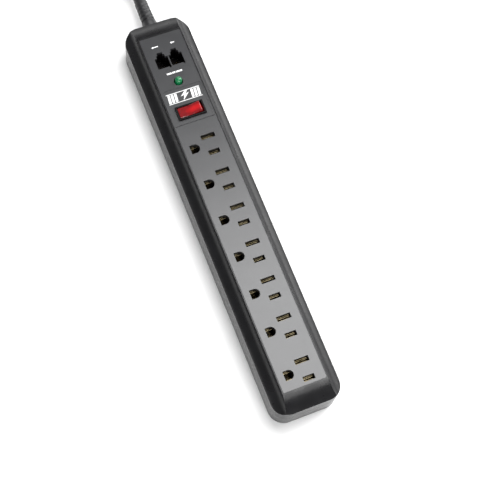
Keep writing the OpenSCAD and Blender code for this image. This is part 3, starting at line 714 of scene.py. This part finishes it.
def plug_relief_sections():
    """Four collars of the plug's own strain relief, with grooves between them."""
    collars, first, pitch, groove_r = 4, 319.2, 3.7, 4.7
    rows = [(318.0, 4.75, 4.75, 2), (318.15, 5.0, 5.0, 2)]
    for i in range(collars):
        start, r = first + i * pitch, 5.25 + i * 0.5
        profile = [(0, r - 0.1), (0.2, r), (2.3, r + 0.3), (2.5, r + 0.2), (2.6, groove_r), (3.5, groove_r)]
        rows += [(start + dy, radius, radius, 2) for dy, radius in profile]
    return rows[:-1] + [(333.8, 6.4, 6.2, 2.1)]


def plug_sections():
    """All sections of the plug, with fine ribs across its two grips."""
    rows = plug_relief_sections()
    for a, b in zip(PLUG_SECTIONS, PLUG_SECTIONS[1:]):
        parts = max(1, round((b[0] - a[0]) / SECTION_STEP))
        for k in range(parts):
            t = k / parts
            y, w, h, power = (u + (v - u) * t for u, v in zip(a, b))
            if GRIP_FROM < y < GRIP_TO:
                w -= RIB_DEPTH * (0.5 + 0.5 * math.cos(2 * math.pi * (y - GRIP_FROM) / RIB_PITCH)) ** 2
            rows.append((y, w, h, power))
    return rows + [PLUG_SECTIONS[-1]]


def make_plug():
    """The plug's moulding, with its grips and its strain relief, in one skin."""
    rings = [[Vector((PLUG_X + x, y, PLUG_Z + z)) * MM for x, z in superellipse(w, h, power)]
             for y, w, h, power in plug_sections()]
    plug = add_piece("plug_moulding", grid_mesh(rings), "cord_vinyl")
    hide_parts("plug_body")
    soften(plug)
    return plug


cord = make_cord()
make_hank_tie()
make_plug()


# ------------------------------------------------------------------ carried CAD nodes

# How far each node's sharp edges are rounded, in millimetres
BEVELS = {
    "bottom_case": 0.35, "top_case": 0.35, "face_plate": 0.14, "switch_housing": 0.3,
    "phone_jack_housing": 0.15, "contact_carrier": 0.15, "plug_blades": 0.2,
    "strain_relief": 0.2, "status_light": 0.08, "rocker": 1.3, "circuit_board": 0.1,
    "filter_capacitor": 0.4, "surge_varistors": 0.8, "choke_core": 0.4,
    "phone_suppressors": 0.2, "case_screws": 0.12, "carrier_screws": 0.1, "board_screws": 0.1,
    "line_bus": 0.05, "neutral_bus": 0.05, "ground_bus": 0.05, "contact_arm": 0.1,
}
# Depth of the rocker's shaped top below its highest point, which ends above the trunnions
ROCKER_TOP = 5.4


def dress_cad_nodes():
    """Gives every node its material, and all but the rocker their rounded edges."""
    slots = {row["node"]: row["material_slot"] for row in frame["record"]["subparts"]}
    for name, piece in NODES.items():
        piece.data.materials.clear()
        piece.data.materials.append(MATERIALS[slots[name]])
        if name != "rocker":
            crisp(piece, BEVELS.get(name, 0))


def dress_rocker():
    """Rounds only the edges around the rocker's shaped top, well clear of its trunnions."""
    rocker = NODES["rocker"]
    top = max(v.co.z for v in rocker.data.vertices)
    marks = edges_above("rocker_top_edges", top - ROCKER_TOP * MM)
    crisp(rocker, BEVELS["rocker"], segments=5, marks=marks)


dress_cad_nodes()
dress_rocker()


# ------------------------------------------------------------------ studio

def make_floor():
    """A wide pale floor, level with the strip's underside."""
    made = bmesh.new()
    bmesh.ops.create_grid(made, x_segments=8, y_segments=8, size=6)
    mesh = bpy.data.meshes.new("floor")
    made.to_mesh(mesh)
    made.free()
    floor = bpy.data.objects.new("floor", mesh)
    bpy.context.scene.collection.objects.link(floor)
    material, shader = principled("floor", Roughness=0.9, Specular_IOR_Level=0.1)
    white = ramp(material, noise(material, 3, 2), [(0.3, (0.86, 0.86, 0.86)), (0.7, (0.88, 0.88, 0.88))])
    join(material, white, shader.inputs["Base Color"])
    mesh.materials.append(material)


def make_light(name, place, target, size, power):
    """A rectangular area light at a place, in metres, which faces the target."""
    data = bpy.data.lights.new(name, "AREA")
    data.shape = "RECTANGLE"
    data.size, data.size_y = size
    data.energy = power
    light = bpy.data.objects.new(name, data)
    light.location = place
    light.rotation_mode = "QUATERNION"
    light.rotation_quaternion = (Vector(target) - Vector(place)).to_track_quat("-Z", "Y")
    bpy.context.scene.collection.objects.link(light)


def make_world(strength):
    """Even white light from all around."""
    world = bpy.data.worlds.new("world")
    world.use_nodes = True
    world.node_tree.nodes["Background"].inputs["Color"].default_value = (1, 1, 1, 1)
    world.node_tree.nodes["Background"].inputs["Strength"].default_value = strength
    bpy.context.scene.world = world


make_floor()
make_world(0.30)
make_light("key", (0.35, 0.16, 1.5), (0.35, 0.16, 0), (0.8, 0.8), 22)
make_light("side", (1.2, 0.46, 0.72), (0, 0, 0), (0.9, 1.1), 21)
make_light("front", (0.2, -1.5, 0.5), (0, 0, 0), (0.7, 0.5), 10)
make_light("front_left", (-1.0, -1.2, 0.8), (0, 0, 0), (0.7, 0.7), 16)
make_light("back", (0.3, 1.6, 0.65), (0, 0.15, 0), (1.0, 0.5), 7)
bpy.context.scene.view_settings.view_transform = "Standard"
